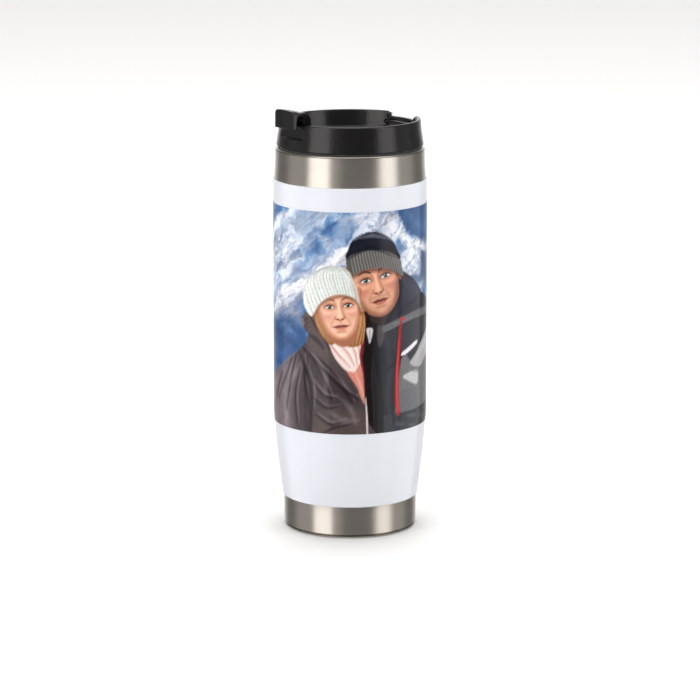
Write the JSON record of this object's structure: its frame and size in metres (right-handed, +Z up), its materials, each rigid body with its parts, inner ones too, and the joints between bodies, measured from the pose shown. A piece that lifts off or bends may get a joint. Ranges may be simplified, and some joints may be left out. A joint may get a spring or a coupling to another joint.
{
  "type": "insulated travel mug",
  "caption": "Insulated travel mug: a double-walled steel cup with a white coated and printed sleeve, and a black push-in lid with a flip lever that covers the drinking hole.",
  "frame": {"origin": "centre of the base's underside, on the surface the mug stands on", "axes": "+Z up along the cup's axis; the main picture on the sleeve faces -Y; the lever's tab points to the front left, 214.5 degrees from +X"},
  "size_m": [0.0744, 0.0744, 0.2072],
  "materials": {
    "brushed_steel": "brushed around the cup",
    "liner_steel": "satin",
    "solder": "satin",
    "getter_grey": "matte",
    "copper_foil": "satin",
    "white_coating": "gloss",
    "print_film": "gloss printed film",
    "lid_black": "satin",
    "insert_black": "matte",
    "white_foam": "foam",
    "grey_silicone": "matte",
    "pin_steel": "ground"
  },
  "bodies": {
    "cup": {"outer_shell": "brushed_steel", "inner_liner": "liner_steel", "outer_bottom": "liner_steel", "vacuum_seal": "solder", "getter": "getter_grey", "getter_clip": "liner_steel", "foil_wrap": "copper_foil", "base_cover": "brushed_steel", "base_pad": "grey_silicone", "wrap_sleeve": "white_coating", "printed_film": "print_film"},
    "lid": {"lid_body": "lid_black", "lid_insert": "insert_black", "lid_insulation": "white_foam", "lid_gasket": "grey_silicone", "lip_seal": "grey_silicone", "spout_seal": "grey_silicone", "hinge_pin": "pin_steel"},
    "lever": {"lever": "lid_black", "drink_plug": "grey_silicone", "vent_plug": "grey_silicone"}
  },
  "joints": [
    {"name": "lid_lift", "type": "slide", "parent": "cup", "child": "lid", "axis": [0, 0, 1], "range_m": [0, 0.04]},
    {"name": "lever_flip", "type": "hinge", "parent": "lid", "child": "lever", "pos_m": [0.02439, 0.01677, 0.19505], "axis": [-0.5664, 0.8241, 0], "range_deg": [0, 120]}
  ]
}
